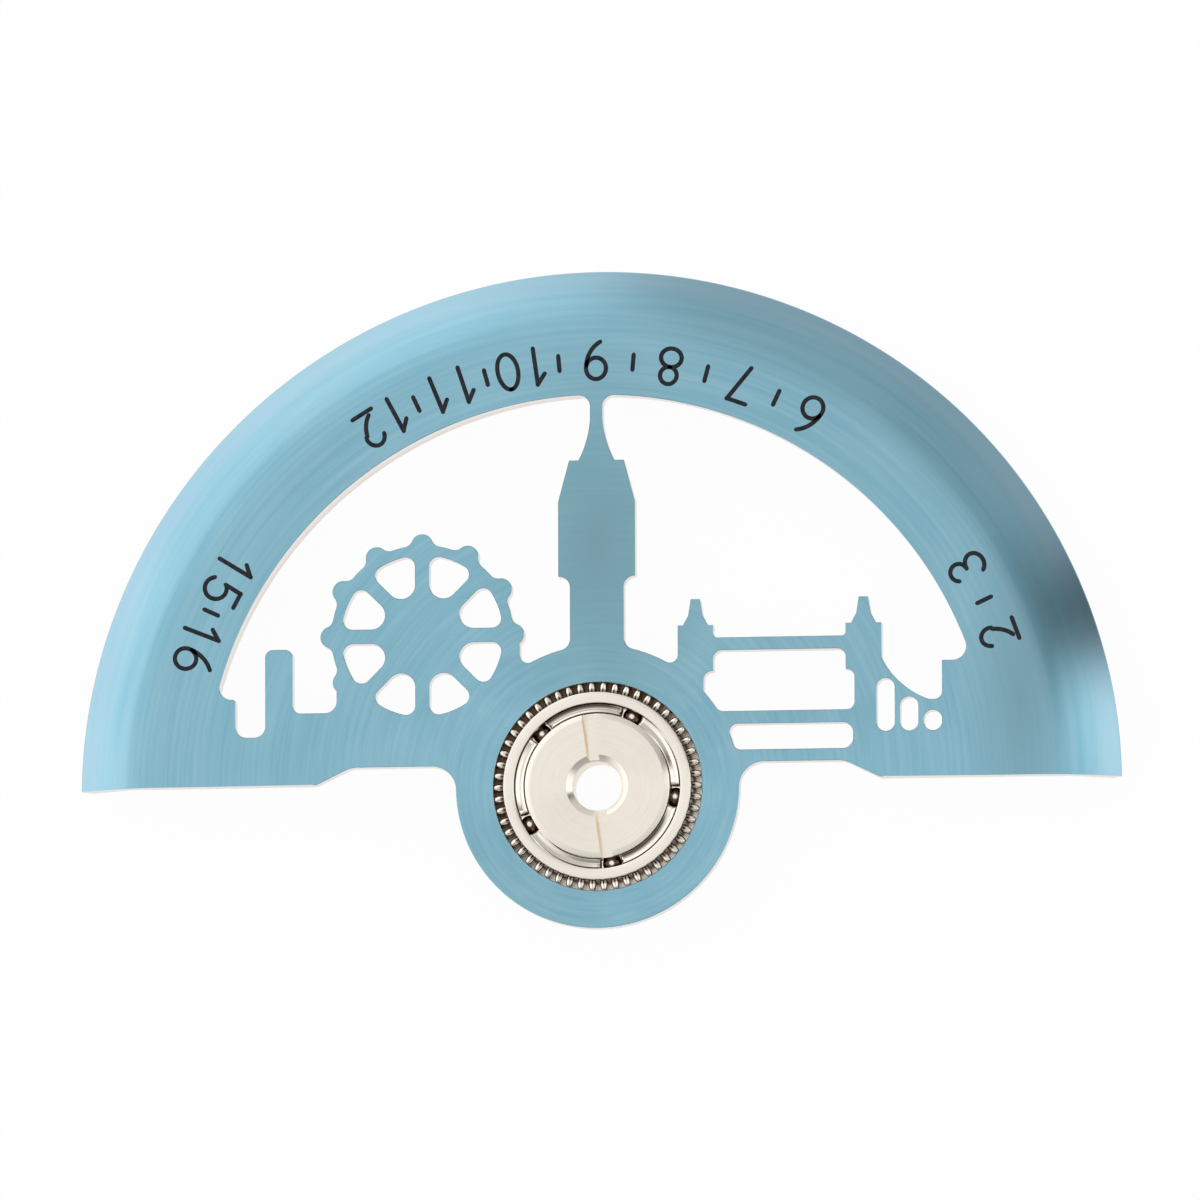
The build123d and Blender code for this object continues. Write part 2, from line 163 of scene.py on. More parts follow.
def piece(name, points, faces, material, body, slot, sharp_angle=30, middles=None, wall_material=None):
    """Mesh object from points in millimetres, smooth but for edges sharper than an angle.

    Its UV map is polar about the bearing's axis, or about each point's own middle. Upright faces may have
    a material of their own.
    """
    mesh = bpy.data.meshes.new(name)
    points = np.asarray(points, float)
    middles = np.zeros((len(points), 2)) if middles is None else middles
    faces = [tuple(int(n) for n in f) for f in faces]
    mesh.from_pydata((points * mm).tolist(), [], faces)
    layer = mesh.uv_layers.new(name="polar")
    layer.data.foreach_set("uv", polar_uv(points, faces, middles).ravel().astype(np.float32))
    mesh.validate()
    mesh.shade_smooth()
    mesh.set_sharp_from_angle(angle=math.radians(sharp_angle))
    mesh.materials.append(material)
    if wall_material:
        mesh.materials.append(wall_material)
        normals = np.empty(len(mesh.polygons) * 3)
        mesh.polygons.foreach_get("normal", normals)
        upright = np.abs(normals.reshape(-1, 3)[:, 2]) < upright_limit
        mesh.polygons.foreach_set("material_index", upright.astype(np.int32))
    obj = new_object(name, mesh)
    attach(obj, body)
    return obj


def without(points, faces, cutter_points, cutter_faces):
    """Points and faces of a closed surface after another one is cut away from it."""
    made = []
    for one, its_faces in ((points, faces), (cutter_points, cutter_faces)):
        mesh = bpy.data.meshes.new("blank")
        mesh.from_pydata(np.asarray(one).tolist(), [], [tuple(int(n) for n in f) for f in its_faces])
        made.append(new_object("blank", mesh))
    boolean = made[0].modifiers.new("cut", "BOOLEAN")
    boolean.operation, boolean.solver, boolean.object = "DIFFERENCE", "EXACT", made[1]
    result = made[0].evaluated_get(bpy.context.evaluated_depsgraph_get()).to_mesh()
    left = np.empty(len(result.vertices) * 3)
    result.vertices.foreach_get("co", left)
    polygons = [tuple(polygon.vertices) for polygon in result.polygons]
    for obj in made:
        bpy.data.meshes.remove(obj.data)
    return left.reshape(-1, 3), polygons


def rounded_profile(corners, radius, steps=4):
    """Closed polygon with each corner replaced by an arc.

    An arc starts and ends radius * tan(turn / 2) from the corner, at most 0.45 of either side's length.
    Its points are on the quadratic curve (1-s)^2 start + 2 s (1-s) corner + s^2 end, s from 0 to 1.
    """
    corners = np.asarray(corners, float)
    before = np.roll(corners, 1, axis=0) - corners
    after = np.roll(corners, -1, axis=0) - corners
    length_before = np.linalg.norm(before, axis=1)
    length_after = np.linalg.norm(after, axis=1)
    unit_before = before / length_before[:, None]
    unit_after = after / length_after[:, None]
    turn = np.pi - np.arccos(np.clip((unit_before * unit_after).sum(1), -1, 1))
    reach = np.minimum(radius * np.tan(turn / 2), 0.45 * np.minimum(length_before, length_after))
    start = corners + unit_before * reach[:, None]
    end = corners + unit_after * reach[:, None]
    s = np.linspace(0, 1, steps)[None, :, None]
    curve = (1 - s) ** 2 * start[:, None] + 2 * s * (1 - s) * corners[:, None] + s ** 2 * end[:, None]
    return curve.reshape(-1, 2)


def carried(profile, angle, z=None):
    """Grid of points (r cos a, r sin a, z) of a profile of (r, z) at angles a, or with heights of its own."""
    r = profile[None, :, 0]
    z = profile[None, :, 1] if z is None else z
    return np.stack(np.broadcast_arrays(r * np.cos(angle), r * np.sin(angle), z), axis=2)


def full_turn(profile, turns):
    """Grid of points of a profile carried once round the Z axis."""
    return carried(profile, np.linspace(0, 2 * np.pi, turns, endpoint=False)[:, None])


def turned(profile, turns=256):
    """Points and faces of a closed profile of (radius, height) carried round the Z axis."""
    quads = grid_quads(turns, len(profile), wrap_rows=True, wrap_columns=True)
    return full_turn(profile, turns).reshape(-1, 3), quads


def swept(profile, end_y, turns):
    """Grid of points of a profile of (radius, height) carried round the axis, above a straight cut.

    The turn goes from a to pi - a, where sin a = end_y / radius, so that both ends are flat.
    """
    start = np.arcsin(end_y / profile[None, :, 0])
    return carried(profile, start + np.linspace(0, 1, turns)[:, None] * (np.pi - 2 * start))


def capped(grid):
    """Points and faces of a grid whose rows are closed sections, with a face at each end."""
    turns, n = grid.shape[:2]
    caps = [tuple(range(n)), tuple(reversed(range((turns - 1) * n, turns * n)))]
    return grid.reshape(-1, 3), list(map(tuple, grid_quads(turns, n, wrap_columns=True))) + caps


def joined(surfaces):
    """Points and faces of several surfaces as one."""
    points, faces, count = [], [], 0
    for one, its_faces in surfaces:
        points.append(one)
        faces += [tuple(np.array(f) + count) for f in its_faces]
        count += len(one)
    return np.concatenate(points), faces


def facing_out(points, faces):
    """Faces turned round as a whole if the closed surface's signed volume is negative."""
    tri = np.concatenate([[(f[0], f[k], f[k + 1]) for k in range(1, len(f) - 1)] for f in faces])
    a, b, c = points[tri[:, 0]], points[tri[:, 1]], points[tri[:, 2]]
    volume = (a * np.cross(b, c)).sum()
    return faces if volume > 0 else [tuple(reversed(tuple(f))) for f in faces]


# plate

def outline_loops(node, height):
    """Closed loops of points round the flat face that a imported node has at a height."""
    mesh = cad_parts[node].data
    points = np.empty(len(mesh.vertices) * 3, np.float32)
    mesh.vertices.foreach_get("co", points)
    points = points.reshape(-1, 3).astype(float) / mm
    corners = np.empty(len(mesh.loops), np.int32)
    mesh.loops.foreach_get("vertex_index", corners)
    triangles = corners.reshape(-1, 3)
    keys, merged = np.unique(np.round(points, 4), axis=0, return_inverse=True)
    triangles = merged.reshape(-1)[triangles]
    flat = np.all(np.abs(keys[triangles][:, :, 2] - height) < 1e-3, axis=1)
    edges = triangles[flat][:, [0, 1, 1, 2, 2, 0]].reshape(-1, 2)
    twin = set(map(tuple, edges[:, ::-1]))
    follow = {a: b for a, b in edges if (a, b) not in twin}
    loops = []
    while follow:
        loop = [next(iter(follow))]
        while loop[-1] in follow:
            loop.append(follow.pop(loop[-1]))
        loops.append(keys[loop[:-1], :2])
    return loops


def with_arcs(loop, step=math.radians(3)):
    """Loop with points added along its arcs.

    Two neighbouring chords of equal length that turn by an angle a belong to an arc of radius
    L / (2 sin(a / 2)). The added points are at equal turns on that arc.
    """
    chord = np.roll(loop, -1, axis=0) - loop
    length = np.linalg.norm(chord, axis=1)
    heading = np.arctan2(chord[:, 1], chord[:, 0])
    turn = (heading - np.roll(heading, 1) + np.pi) % (2 * np.pi) - np.pi
    equal = np.abs(length - np.roll(length, 1)) < 2e-3 * length + 2e-4
    on_arc = equal & (np.abs(turn) > arc_turns[0]) & (np.abs(turn) < arc_turns[1])
    pieces = []
    for k in range(len(loop)):
        following = (k + 1) % len(loop)
        a = turn[k] if on_arc[k] else turn[following] if on_arc[following] else 0.0
        parts = max(1, int(np.ceil(abs(a) / step)))
        s = np.arange(parts)[:, None] / parts
        along = chord[k] / length[k]
        side = np.array([-along[1], along[0]])
        if parts == 1:
            pieces.append(loop[k][None, :])
            continue
        radius = length[k] / (2 * np.sin(a / 2))
        x = radius * (np.sin(a / 2) - np.sin(a / 2 - a * s))
        y = -radius * (np.cos(a / 2 - a * s) - np.cos(a / 2))
        pieces.append(loop[k] + x * along + y * side)
    return np.concatenate(pieces)


def inset(loop, distance):
    """Loop moved to the left of its direction by a distance, with mitred corners."""
    chord = np.roll(loop, -1, axis=0) - loop
    unit = chord / np.linalg.norm(chord, axis=1)[:, None]
    normal = np.stack([-unit[:, 1], unit[:, 0]], axis=1)
    mitre = normal + np.roll(normal, 1, axis=0)
    mitre /= np.maximum((mitre * mitre).sum(1) / 2, mitre_least)[:, None]
    return loop + mitre * distance


def dome(radius):
    """Height of the plate's top: flat inside, and falling by bevel_drop in all towards the rim.

    Its slope grows evenly from zero to a middle value over the roll, and evenly on to rim_slope at the rim,
    so that drop = middle * (roll / 2 + bevel / 2) + rim_slope * bevel / 2.
    """
    roll, bevel = roll_end - roll_start, rotor_radius - roll_end
    middle = (2 * bevel_drop - rim_slope * bevel) / (roll + bevel)
    rolled = np.clip(radius - roll_start, 0, roll)
    beyond = np.maximum(radius - roll_end, 0)
    fall = middle * (rolled ** 2 / (2 * roll) + beyond) + (rim_slope - middle) * beyond ** 2 / (2 * bevel)
    return plate_top - fall


def band(turns=361):
    """The plate's turned outer band: its profile swept from one end of the cut to the other, as a grid."""
    edge_in = plate_thickness * bevel_slope / slope_length
    edge_down = plate_thickness / slope_length
    c = edge_break
    top_radius = np.concatenate([
        [band_inner_radius],
        np.linspace(10.6, roll_start - 0.1, 6),
        np.linspace(roll_start, roll_end, 17),
        np.linspace(roll_end + 0.1, rotor_radius - c, 12),
    ])
    top = np.stack([top_radius, dome(top_radius)], axis=1)
    rim_z = plate_top - bevel_drop
    rim = np.array([
        [rotor_radius, rim_z - c * bevel_slope - c * 0.6],
        [rotor_radius - edge_in + c * 0.4, rim_z - edge_down + c],
        [rotor_radius - edge_in - c, rim_z - edge_down + c * 0.4],
    ])
    under = np.array([[skirt_inner_radius, plate_bottom], [band_inner_radius, plate_bottom]])
    return swept(np.concatenate([top, rim, under]), cut_edge_y, turns)


def build_plate(material, bare_edge):
    """Plate: openwork with chamfered edges inside, turned band outside, in one closed mesh.

    Each outline is carried through the profile (inset, height): (c, top), (0, top - c), (0, bottom + c) and
    (c, bottom). The flat faces between the inset outlines are triangulated.
    """
    c = edge_break
    loops = [with_arcs(loop) for loop in outline_loops("rotor_plate", plate_top)]
    loops.sort(key=lambda loop: -np.ptp(loop[:, 0]))
    outer, holes = loops[0], loops[1:]
    band_points = band()
    turns, profile_length = band_points.shape[:2]
    seam = band_points[:, 0, :2]
    radius = np.hypot(outer[:, 0], outer[:, 1])
    inside = radius < band_inner_radius - 1e-3
    start = int(np.flatnonzero(inside & ~np.roll(inside, 1))[0])
    outer = np.roll(outer, -start, axis=0)[: int(inside.sum())]
    points, faces, tops, bottoms, count = [], [], [], [], 0
    sections = ((c, plate_top), (0, plate_top - c), (0, plate_bottom + c), (c, plate_bottom))
    for number, loop in enumerate([outer] + holes):
        whole = loop if number else np.concatenate([loop, seam])
        n = len(loop)
        rings = [inset(whole, s)[:n] for s, _ in sections]
        for ring, (_, height) in zip(rings, sections):
            points.append(np.column_stack([ring, np.full(n, height)]))
        quads = grid_quads(4, n, wrap_columns=number > 0) + count
        faces.extend(map(tuple, quads[:, ::-1]))
        tops.append(np.arange(n) + count)
        bottoms.append(np.arange(n) + count + 3 * n)
        count += 4 * n
    points.append(band_points.reshape(-1, 3))
    faces.extend(map(tuple, grid_quads(turns, profile_length) + count))
    seam_top = count + np.arange(turns) * profile_length
    seam_bottom = seam_top + profile_length - 1
    points = np.concatenate(points)
    n = len(outer)
    top_polygon = [np.concatenate([tops[0], seam_top])] + tops[1:]
    bottom_polygon = [np.concatenate([bottoms[0], seam_bottom])] + bottoms[1:]
    for polygon, turn_over in ((top_polygon, False), (bottom_polygon, True)):
        numbers = np.concatenate(polygon)
        for triangle in tessellate_polygon([[tuple(points[k]) for k in part] for part in polygon]):
            a, b, d = (int(numbers[k]) for k in triangle)
            pa, pb, pd = points[a], points[b], points[d]
            area = (pb[0] - pa[0]) * (pd[1] - pa[1]) - (pb[1] - pa[1]) * (pd[0] - pa[0])
            if (area < 0) != turn_over:
                a, b = b, a
            faces.append((a, b, d))
    right_end, left_end = (range(first, first + profile_length) for first in (seam_top[0], seam_top[-1]))
    faces.append((*left_end, *(k * n for k in (3, 2, 1, 0))))
    faces.append((*reversed(right_end), *(k * n + n - 1 for k in range(4))))
    plate = piece("plate", points, faces, material, "rotor", "blue_coating", 25, wall_material=bare_edge)
    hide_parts("rotor_plate")


# weight and rivets

def build_weight(material):
    """Heavy half ring under the rim."""
    outer = rotor_radius - weight_setback
    corners = [
        (weight_inner_radius, weight_bottom),
        (outer - weight_edge_chamfer, weight_bottom),
        (outer, weight_bottom + weight_edge_chamfer),
        (outer, plate_bottom - (outer - skirt_inner_radius) * bevel_slope),
        (skirt_inner_radius, plate_bottom),
        (weight_inner_radius, plate_bottom),
    ]
    profile = rounded_profile(corners, weight_edge_radius, steps=3)
    points, faces = capped(swept(profile, weight_end_y, 361))
    weight = piece("weight", points, facing_out(points, faces), material, "rotor", "heavy_alloy")
    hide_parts("rim_weight")


def disc_surface(profile, turns):
    """Profile of (radius, height) from the axis to the axis, carried round it, with a point at each pole."""
    ring = full_turn(profile[1:-1], turns).reshape(-1, 3)
    columns = len(profile) - 2
    points = np.concatenate([ring, [[0, 0, profile[0, 1]], [0, 0, profile[-1, 1]]]])
    starts = np.arange(turns) * columns
    following, pole = np.roll(starts, -1), np.full(turns, turns * columns)
    first = np.stack([pole, following, starts], axis=1)
    last = np.stack([pole + 1, starts + columns - 1, following + columns - 1], axis=1)
    faces = [tuple(f) for part in (grid_quads(turns, columns, wrap_rows=True), first, last) for f in part]
    return points, facing_out(points, faces)


def build_rivets(material):
    """Rivet heads, each faintly dished, just inside the weight's underside, where they don't show."""
    s = np.linspace(0, 1, 9)[1:]
    head = np.stack([rivet_head_radius * s, weight_bottom + rivet_dish * (1 - s ** 4)], axis=1)
    rim = np.array([
        [rivet_head_radius, weight_bottom + rivet_edge],
        [rivet_head_radius - rivet_taper, weight_bottom + rivet_head_height],
    ])
    first, last = [[0, weight_bottom + rivet_dish]], [[0, weight_bottom + rivet_head_height]]
    profile = np.concatenate([first, head, rim, last])
    one, faces = disc_surface(profile, 48)
    turn = np.radians((180 - rivet_spread) / 2 + rivet_spread * np.arange(rivet_count) / (rivet_count - 1))
    places = np.stack([np.cos(turn), np.sin(turn), np.zeros(rivet_count)], axis=1) * rivet_circle_radius
    points, faces = joined([(one + place, faces) for place in places])
    middles = np.repeat(places[:, :2], len(one), axis=0)
    rivets = piece("rivets", points, faces, material, "rotor", "rivet_steel", middles=middles)
    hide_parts("weight_rivets")


# bearing

def build_gear_ring(material):
    """Outer ring: teeth with rounded tops, the flange under the plate, a plain collar and the land inside.

    The teeth's outline is r(t) = root + (tip - root) * s(x), where x goes from -1 to 1 across a pitch and
    s(x) = (1 - |x / w|^3)^0.4 inside a tooth's share w. The crown narrows it by a quarter turn q: w goes with
    cos q, the tip goes to crest + (tip - crest) cos q, and the height goes up by sin q.
    """
    turns = tooth_count * points_per_tooth
    t = np.arange(turns) * 2 * np.pi / turns
    circle = np.stack([np.cos(t), np.sin(t)], axis=1)
    x = 2 * ((np.arange(turns) / points_per_tooth + 0.5) % 1) - 1

    def shape(narrow):
        return np.maximum(1 - np.abs(x / (tooth_share * narrow)) ** 3, 0) ** 0.4

    root = tooth_root_radius
    outline = circle * (root + (tooth_tip_radius - root) * shape(1))[:, None]
    level = np.ones(turns)
    rings = [(outline, ring_lift * level), (outline, flange_bottom * level)]
    for radius, height in (
        (flange_radius - flange_edge, flange_bottom),
        (flange_radius, flange_bottom + flange_edge),
        (flange_radius, plate_bottom - flange_edge),
        (flange_radius - flange_edge, plate_bottom),
    ):
        rings.append((circle * radius, height * level))
    rings.append((outline, plate_bottom * level))
    top = plate_top - crest_dip * (1 - shape(1))
    for q in np.linspace(0, np.pi / 2, crown_steps):
        tip = tooth_crest_radius + (crown_tip_radius - tooth_crest_radius) * np.cos(q)
        low = root - (root - collar_radius) * 0.5 * np.sin(q)
        r = low + (tip - low) * shape(max(np.cos(q), narrowest_crown))
        foot = plate_top - tooth_crown
        rings.append((circle * r[:, None], foot + (top - foot) * np.sin(q)))
    b = collar_edge
    for radius, height in (
        (collar_radius + foot_run, plate_top - crest_dip),
        (collar_radius, plate_top - crest_dip + foot_rise),
        (collar_radius, bearing_height - b),
        (collar_radius - 0.3 * b, bearing_height - 0.3 * b),
        (collar_radius - b, bearing_height),
        (outer_land_radius + b, bearing_height),
        (outer_land_radius + 0.3 * b, bearing_height - 0.3 * b),
        (outer_land_radius, bearing_height - b),
        (outer_land_radius, ring_lift),
    ):
        rings.append((circle * radius, height * level))
    points = np.stack([np.column_stack([xy, z]) for xy, z in rings], axis=1).reshape(-1, 3)
    faces = list(map(tuple, grid_quads(turns, len(rings), wrap_rows=True, wrap_columns=True)))
    ring = piece("toothed_ring", points, facing_out(points, faces), material, "rotor", "turned_steel", 40)
    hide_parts("gear_ring")


def slot_cutter():
    """Bar across the axis, turned to the slot's direction, with one leaning side."""
    half, floor, over = slot_width / 2, bearing_height - slot_depth, bearing_height + slot_clear
    lean = slot_lean * (over - floor) / slot_depth
    corners = [(-half, over), (half + lean - slot_lean, over), (half - slot_lean, floor), (-half, floor)]
    section = rounded_profile(corners, slot_edge_radius, steps=2)
    n = len(section)
    a = math.radians(slot_turn)
    along, across = np.array([math.cos(a), math.sin(a), 0]), np.array([-math.sin(a), math.cos(a), 0])
    end = section[:, :1] * across + section[:, 1:] * [0, 0, 1]
    points = np.concatenate([end - slot_reach * along, end + slot_reach * along])
    i = np.arange(n)
    faces = [*map(tuple, np.stack([i, (i + 1) % n, (i + 1) % n + n, i + n], axis=1))]
    faces += [tuple(range(n)), tuple(range(n, 2 * n))[::-1]]
    return points, facing_out(points, faces)


def build_inner_rings(material):
    """Both halves of the inner ring; the upper one has the chamfered bore and the slot across its face."""
    lower = rounded_profile([
        (bore_radius, 0),
        (inner_land_radius, 0),
        (inner_land_radius, ball_height - groove_half_height),
        (inner_land_radius - groove_depth, ball_height),
        (spigot_radius, ball_height),
        (spigot_radius, spigot_top),
        (bore_radius, spigot_top),
    ], seat_edge_radius)
    upper = rounded_profile([
        (spigot_radius, ball_height),
        (inner_land_radius - groove_depth, ball_height),
        (inner_land_radius, ball_height + groove_half_height),
        (inner_land_radius, bearing_height - face_chamfer_drop),
        (inner_land_radius - face_chamfer_width, bearing_height),
        (bore_radius + bore_chamfer, bearing_height),
        (bore_radius, bearing_height - bore_chamfer_drop),
        (bore_radius, spigot_top),
        (spigot_radius, spigot_top),
    ], face_edge_radius)
    points, faces = turned(lower)
    seat = piece("seat_ring", points, facing_out(points, faces), material, "inner_ring", "turned_steel")
    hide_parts("inner_ring_lower")
    points, faces = turned(upper)
    points, faces = without(points, facing_out(points, faces), *slot_cutter())
    face = piece("face_ring", points, facing_out(points, faces), material, "inner_ring", "turned_steel")
    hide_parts("inner_ring_upper")


def build_cage(material):
    """Cage: arcs of a closed section between the windows over the balls, rounded over beside each window.

    The top falls by lip - sqrt(lip^2 - (lip - e)^2) at a distance e from the window, where e < lip.
    """
    outer = outer_land_radius - cage_clearance
    inner = inner_land_radius + cage_clearance
    pitch = 2 * math.pi / ball_count
    half = pitch / 2 - window_half_width / pitch_radius
    section = rounded_profile([
        (inner, cage_bottom),
        (outer, cage_bottom),
        (outer, cage_top),
        (pitch_radius, cage_top - cage_dish),
        (inner, cage_top),
    ], cage_edge_radius)
    share = np.concatenate([np.linspace(-1, -0.9, 12), np.linspace(-0.88, 0.88, 40), np.linspace(0.9, 1, 12)])
    gap = np.maximum(cage_lip - (1 - np.abs(share)) * half * pitch_radius, 0)
    fall = cage_lip - np.sqrt(np.maximum(cage_lip ** 2 - gap ** 2, 0))
    upper = section[None, :, 1] > (cage_bottom + cage_top) / 2
    z = section[None, :, 1] - upper * fall[:, None]
    blocks = []
    for number in range(ball_count):
        middle = math.radians(ball_first_angle) + (number + 0.5) * pitch
        block, faces = capped(carried(section, middle + share[:, None] * half, z))
        blocks.append((block, facing_out(block, faces)))
    cage = piece("cage", *joined(blocks), material, "cage", "brass_cage")
    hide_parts("bearing_cage")


def build_balls(material):
    """Polished balls: x = R sin p cos t, y = R sin p sin t, z = R cos p about each centre."""
    p = np.linspace(0, np.pi, 33)
    profile = np.stack([ball_radius * np.sin(p), -ball_radius * np.cos(p)], axis=1)
    one, faces = disc_surface(profile, 64)
    for number in range(ball_count):
        turn = math.radians(ball_first_angle + 360 * number / ball_count)
        centre = np.array([pitch_radius * math.cos(turn), pitch_radius * math.sin(turn), ball_height])
        ball = piece(f"bearing_ball_{number + 1}", one + centre, faces, material, "cage", "polished_steel")
        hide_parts(f"ball_{number + 1}")


# engraved scale

figure_height = 0.92
figure_width = 0.52
figure_pitch = 0.74
stroke_width = 0.13
stroke_flat = 0.85            # share of a stroke's width that is flat on top
stroke_root = -0.02           # height of its edges over the plate
stroke_rise = 0.003           # how far the first stroke of the filling stands over the plate
stroke_step = 0.002           # and how much further each next one
scale_radius = 10.9           # middle of the figures
scale_runs = ((2, 3), (6, 12), (15, 16))    # first and last tens of degrees
tick_height = 0.4             # share of a figure's height


def arc(x, y, rx, ry, start, end, steps=16):
    """Points on an ellipse between two angles in degrees."""
    a = np.radians(np.linspace(start, end, steps))
    return np.stack([x + rx * np.cos(a), y + ry * np.sin(a)], axis=1)


def line(*points):
    """Straight run through points."""
    return np.array(points, float)


def figures():
    """Centre lines of the figures in a box from (0, 0) to (1, 1), as lists of smooth strokes."""
    join = np.concatenate
    return {
        "0": [arc(0.5, 0.5, 0.5, 0.5, 90, 450, 33)],
        "1": [line((0.15, 0.74), (0.55, 1)), line((0.55, 1), (0.55, 0))],
        "2": [
            join([arc(0.5, 0.72, 0.46, 0.28, 165, -20), arc(-0.35, 0.99, 1.3, 0.97, -22, -62)]),
            line((0, 0), (1, 0)),
        ],
        "3": [arc(0.46, 0.76, 0.44, 0.24, 150, -90), arc(0.46, 0.26, 0.52, 0.26, 90, -150)],
        "5": [
            line((0.92, 1), (0.14, 1)),
            line((0.14, 1), (0.08, 0.52)),
            arc(0.45, 0.31, 0.53, 0.31, 133, -145),
        ],
        "6": [join([arc(1.3, 0.28, 1.3, 0.86, 118, 172), arc(0.5, 0.3, 0.5, 0.3, 172, 520, 32)])],
        "7": [line((0, 1), (0.98, 1)), line((0.98, 1), (0.33, 0))],
        "8": [arc(0.5, 0.76, 0.42, 0.24, -90, 270, 29), arc(0.5, 0.26, 0.5, 0.26, 90, 450, 31)],
        "9": [join([arc(-0.3, 0.72, 1.3, 0.86, -62, -8), arc(0.5, 0.7, 0.5, 0.3, -8, 340, 32)])],
        "|": [line((0.5, 0), (0.5, 1))],
    }


def stroke_surface(path, rise):
    """Low ribbon along a path on the plate, with round ends.

    The section is (-w, root), (-f w, rise), (f w, rise), (w, root), with half the stroke's width w and its
    flat share f.
    Each end is carried on by w, where the section narrows as a circle's chord.
    """
    half = stroke_width / 2
    step = np.linalg.norm(np.diff(path, axis=0), axis=1)
    path = path[np.concatenate([[True], step > 1e-3])]
    unit = np.diff(path, axis=0)
    unit /= np.linalg.norm(unit, axis=1)[:, None]
    s = np.sin(np.linspace(np.pi / 2, 0, 7)[:-1] * 0.99)[:, None]
    lead_in, lead_out = path[:1] - unit[:1] * half * s, path[-1:] + unit[-1:] * half * s[::-1]
    middle_line = np.concatenate([lead_in, path, lead_out])
    chord = np.sqrt(1 - s[:, 0] ** 2)
    taper = np.concatenate([chord, np.ones(len(path)), chord[::-1]])
    ends = len(s) + 1
    direction = np.concatenate([
        np.repeat(unit[:1], ends, axis=0), unit[:-1] + unit[1:], np.repeat(unit[-1:], ends, axis=0),
    ])
    direction /= np.linalg.norm(direction, axis=1)[:, None]
    normal = np.stack([-direction[:, 1], direction[:, 0]], axis=1)
    rings = []
    for across, up in ((-1, stroke_root), (-stroke_flat, rise), (stroke_flat, rise), (1, stroke_root)):
        xy = middle_line + normal * (across * half * taper)[:, None]
        rings.append(np.column_stack([xy, dome(np.hypot(xy[:, 0], xy[:, 1])) + up]))
    points = np.stack(rings, axis=1).reshape(-1, 3)
    faces = list(map(tuple, grid_quads(len(middle_line), 4, wrap_columns=True)))
    faces += [(0, 1, 2, 3), tuple(len(points) - k for k in (1, 2, 3, 4))]
    return points, facing_out(points, faces)


def build_scale(material):
    """Angle scale in the engraved band: plain figures for tens of degrees, with a short stroke between them.

    The figures' tops point to the hub, so they are read with the rim at the bottom. A point (u, v) of a word,
    v up from its middle, goes to radius R - v and turn a + u / R.
    """
    shapes = figures()
    words = []
    for first, last in scale_runs:
        words += [(10 * number, str(number), 1.0) for number in range(first, last + 1)]
        words += [(10 * number + 5, "|", tick_height) for number in range(first, last)]
    strokes = []
    for angle, word, tall in words:
        width = figure_pitch * (len(word) - 1) + figure_width
        for place, letter in enumerate(word):
            for order, stroke in enumerate(shapes[letter]):
                u = stroke[:, 0] * figure_width + place * figure_pitch - width / 2
                v = (stroke[:, 1] - 0.5) * figure_height * tall
                turn = math.radians(angle) + u / scale_radius
                radius = scale_radius - v
                path = np.stack([radius * np.cos(turn), radius * np.sin(turn)], axis=1)
                strokes.append(stroke_surface(path, stroke_rise + stroke_step * order))
    piece("degree_scale", *joined(strokes), material, "rotor", "engraving_fill")


# materials

painted_shade_brown = (0.10, 0.065, 0.04)  # painted shade between the teeth and along the cage's edges
# painted shade where the teeth meet the collar
foot_shade_brown = (0.16, 0.11, 0.075)
# painted shade on the balls below their tops
ball_shade_brown = (0.13, 0.08, 0.05)
# painted shade on the clock tower, standing for a darker reflection
tower_shade_blue = (0.085, 0.28, 0.35)
# painted shade at the band's right end
end_shade_blue = (0.085, 0.28, 0.37)
# paler blue towards the rim
rim_pale_blue = (0.25, 0.42, 0.53)
lacquer_ior = 2.1
lacquer_roughness = 0.18
broad_share = 0.4             # of the broad rings in a turned metal's tone
broad_ratio = 12              # fine lines to a broad ring
tangent_rise = 0.3            # upward lean of the direction across the turning lines
facing_depth = 4e-7           # of the rings on the rivets, in metres
belt_edge = 0.03              # height over which a belt's bottom fades
arc_shade_most = 0.9                # strength of the painted shade along the cage's edges


def add(tree, kind, inputs=(), **settings):
    """Shader node of a kind in a tree, with its settings made and its inputs filled."""
    node = tree.nodes.new("ShaderNode" + kind)
    for key, value in settings.items():
        setattr(node, key, value)
    fill(node, dict(inputs))
    return node


def fill(node, inputs):
    """Fill a node's inputs: a socket is linked to its input, anything else becomes the input's own value."""
    for key, value in inputs.items():
        if isinstance(value, bpy.types.NodeSocket):
            node.id_data.links.new(value, node.inputs[key])
        else:
            node.inputs[key].default_value = value


def new_material(name):
    """Node material, with its shader and its tree."""
    material = bpy.data.materials.new(name)
    material.use_nodes = True
    tree = material.node_tree
    return material, next(n for n in tree.nodes if n.type == "BSDF_PRINCIPLED"), tree


def surface_point(tree):
    """Socket of the surface point in Object coordinates."""
    return add(tree, "TexCoord").outputs["Object"]


def product(tree, first, second):
    """Socket of the product of two values."""
    return add(tree, "Math", {0: first, 1: second}, operation="MULTIPLY").outputs[0]


def mapped(tree, value, start, full, least=0.0, most=1.0, **settings):
    """Socket that goes from least to most while a value goes from start to full."""
    limits = {"From Min": start, "From Max": full, "To Min": least, "To Max": most}
    return add(tree, "MapRange", {"Value": value, **limits}, **settings).outputs[0]


def two_tone(tree, strength, dark, light, start=0.0, end=1.0):
    """Colour socket that goes from a dark to a light tone while a strength goes from start to end."""
    ramp = add(tree, "ValToRGB", {"Fac": strength})
    for element, position, tone in zip(ramp.color_ramp.elements, (start, end), (dark, light)):
        element.position = position
        element.color = (*tone, 1)
    return ramp.outputs["Color"]


def bumped(tree, height, depth):
    """Socket of the normal that a height gives, for a depth in metres."""
    return add(tree, "Bump", {"Strength": 1.0, "Distance": depth, "Height": height}).outputs["Normal"]


